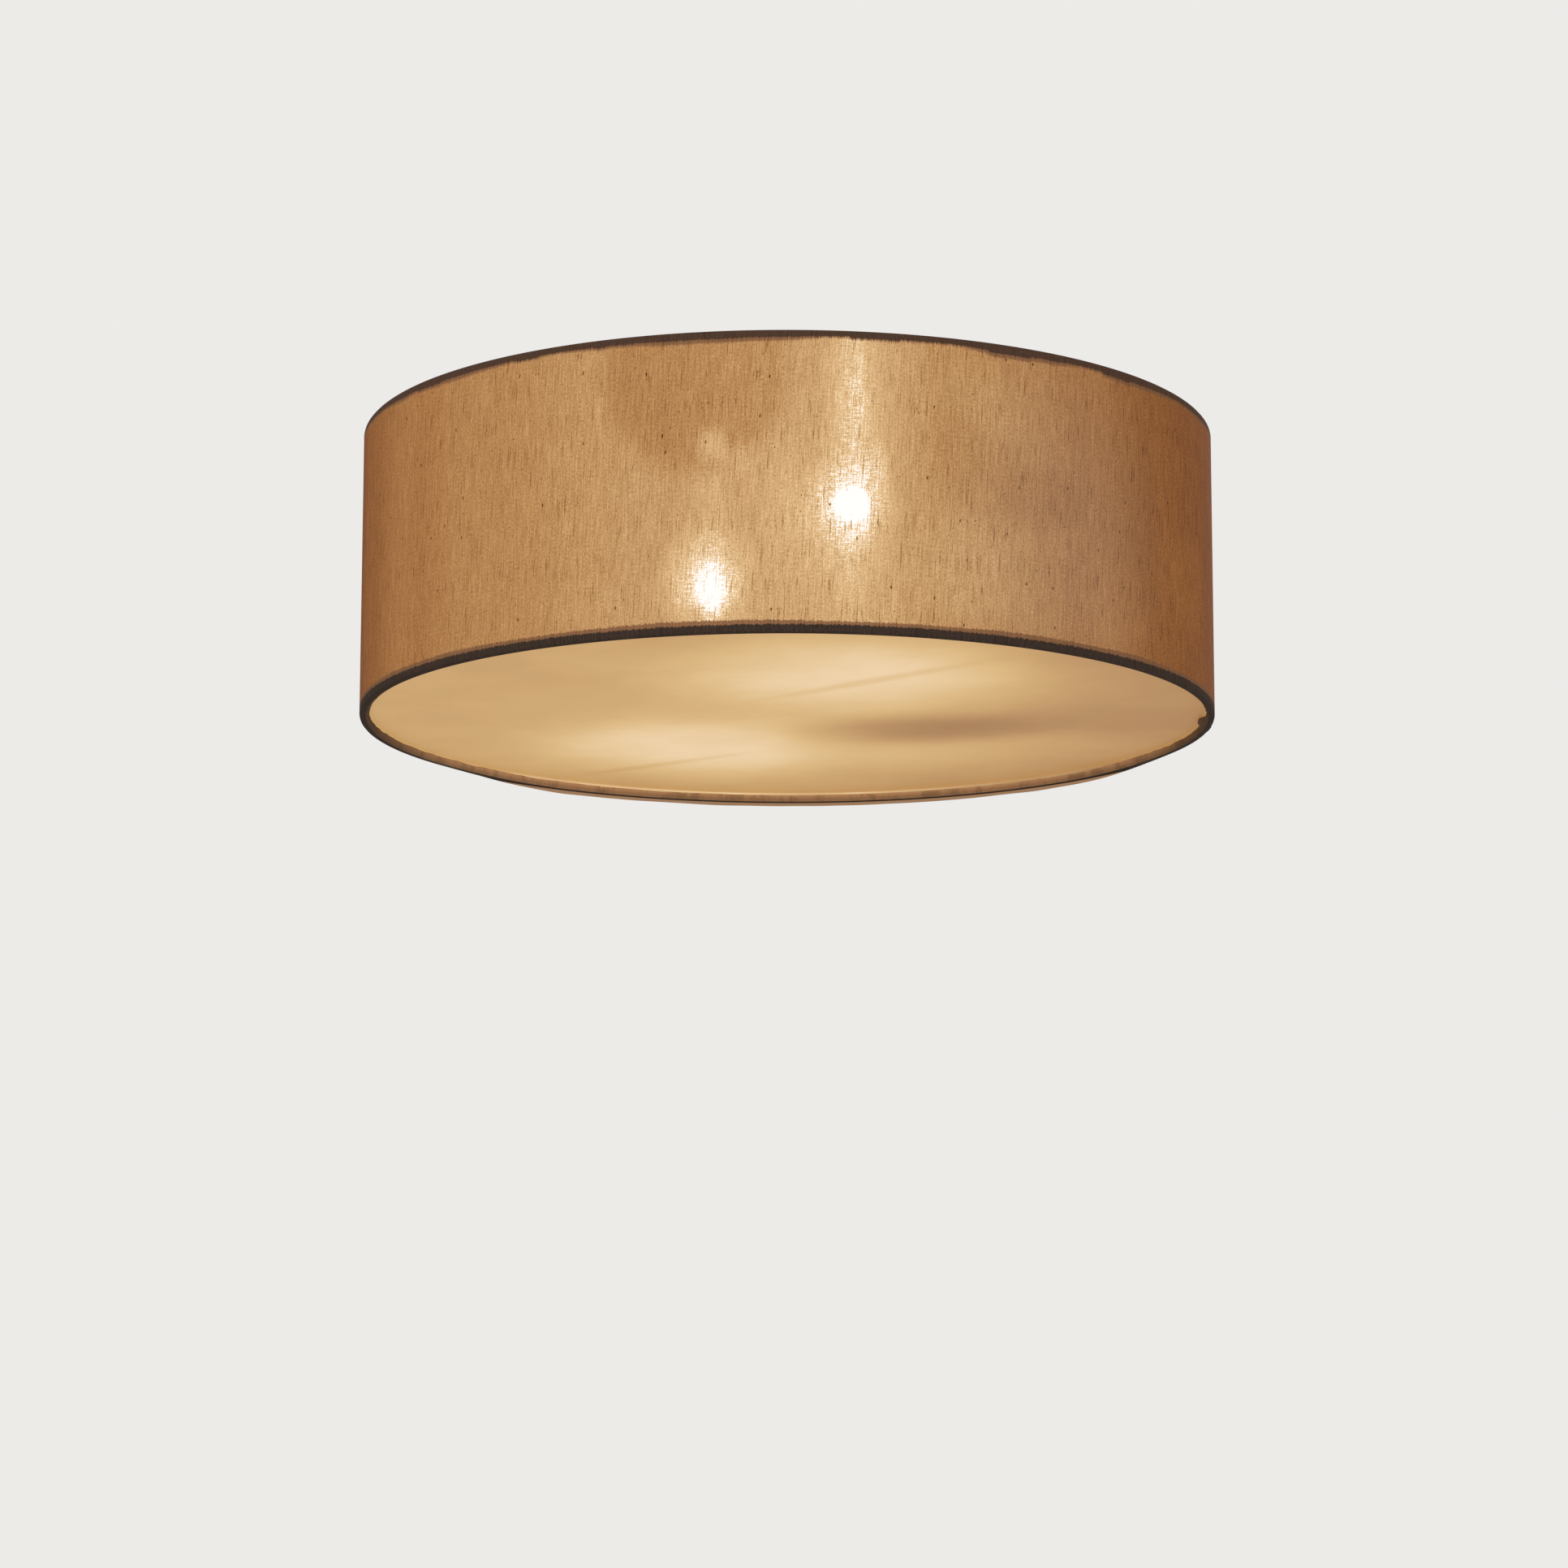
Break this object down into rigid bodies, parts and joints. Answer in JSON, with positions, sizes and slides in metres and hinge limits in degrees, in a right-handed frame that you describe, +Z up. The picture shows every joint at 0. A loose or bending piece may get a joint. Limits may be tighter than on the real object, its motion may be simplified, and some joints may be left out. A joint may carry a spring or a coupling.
{
  "type": "flush mount ceiling light",
  "caption": "Flush mount ceiling light: fabric drum shade on a wire spider, loose opal diffuser plate, opposed level lamps that screw out, and a canopy on a slotted crossbar.",
  "frame": {"origin": "ceiling plane, at the centre of the crossbar's slotted holes, on the lamp's axis", "axes": "+Z up into the ceiling, +X along the crossbar, -Y towards the front lamp's side; the light hangs in -Z"},
  "size_m": [0.4, 0.4, 0.162],
  "materials": {
    "canopy_paint": "white powder coat, satin",
    "zinc_steel": "zinc-plated steel",
    "spider_paint": "white powder coat",
    "taupe_fabric": "slubbed weave, matt",
    "lining_film": "translucent film, matt",
    "opal_plate": "opal, satin",
    "holder_plastic": "black thermoplastic, satin",
    "carrier_steatite": "unglazed steatite",
    "contact_brass": "plain brass",
    "cap_metal": "plain aluminium",
    "solder": "dull solder",
    "black_glass": "black insulating glass",
    "clear_glass": "clear",
    "filament_wire": "glowing",
    "support_nickel": "nickel wire",
    "terminal_plastic": "natural polyamide",
    "wire_brown": "sleeved wire",
    "wire_blue": "sleeved wire",
    "wire_green_yellow": "striped sleeve"
  },
  "bodies": {
    "fixture": {"ceiling_bracket": "zinc_steel", "canopy": "canopy_paint", "canopy_screws": "zinc_steel", "terminal_body": "terminal_plastic", "terminal_inserts": "contact_brass", "terminal_screws": "zinc_steel", "terminal_fixing_screws": "zinc_steel", "wire_live": "wire_brown", "wire_neutral": "wire_blue", "wire_earth": "wire_green_yellow", "link_live": "wire_brown", "link_neutral": "wire_blue", "earth_tag": "contact_brass", "earth_screw": "zinc_steel", "threaded_tube": "zinc_steel", "tube_nuts": "zinc_steel", "tube_washers": "zinc_steel", "shade_nut": "contact_brass", "spider_hub": "spider_paint", "spider_arms": "spider_paint", "top_ring": "spider_paint", "bottom_ring": "spider_paint", "shade_lining": "lining_film", "shade_fabric": "taupe_fabric", "lamp_bracket": "zinc_steel", "holder_nipples": "zinc_steel", "holder_nuts": "zinc_steel", "holder_front_cap": "holder_plastic", "holder_front_body": "holder_plastic", "holder_front_carrier": "carrier_steatite", "holder_front_contact": "contact_brass", "holder_front_shell": "contact_brass", "holder_back_cap": "holder_plastic", "holder_back_body": "holder_plastic", "holder_back_carrier": "carrier_steatite", "holder_back_contact": "contact_brass", "holder_back_shell": "contact_brass"},
    "front_bulb_end": {"bulb_front_tip": "solder"},
    "front_bulb": {"bulb_front_insulator": "black_glass", "bulb_front_cap": "cap_metal", "bulb_front_glass": "clear_glass", "bulb_front_stem": "clear_glass", "bulb_front_supports": "support_nickel", "bulb_front_capsule": "clear_glass", "bulb_front_filament": "filament_wire"},
    "back_bulb_end": {"bulb_back_tip": "solder"},
    "back_bulb": {"bulb_back_insulator": "black_glass", "bulb_back_cap": "cap_metal", "bulb_back_glass": "clear_glass", "bulb_back_stem": "clear_glass", "bulb_back_supports": "support_nickel", "bulb_back_capsule": "clear_glass", "bulb_back_filament": "filament_wire"},
    "diffuser_plate": {"diffuser": "opal_plate"}
  },
  "joints": [
    {"name": "front_bulb_out", "type": "slide", "parent": "fixture", "child": "front_bulb_end", "axis": [0.342, -0.9397, 0], "range_m": [0, 0.0255]},
    {"name": "front_bulb_turn", "type": "hinge", "parent": "front_bulb_end", "child": "front_bulb", "pos_m": [0, 0, -0.078], "axis": [0.342, -0.9397, 0], "range_deg": [0, 2520]},
    {"name": "back_bulb_out", "type": "slide", "parent": "fixture", "child": "back_bulb_end", "axis": [-0.342, 0.9397, 0], "range_m": [0, 0.0255]},
    {"name": "back_bulb_turn", "type": "hinge", "parent": "back_bulb_end", "child": "back_bulb", "pos_m": [0, 0, -0.078], "axis": [-0.342, 0.9397, 0], "range_deg": [0, 2520]},
    {"name": "diffuser_lift", "type": "slide", "parent": "fixture", "child": "diffuser_plate", "axis": [0, 0, 1], "range_m": [0, 0.04]}
  ],
  "couplings": [
    {"joint": "front_bulb_out", "follows": "front_bulb_turn", "m_per_rad": 0.00057757},
    {"joint": "back_bulb_out", "follows": "back_bulb_turn", "m_per_rad": 0.00057757}
  ]
}
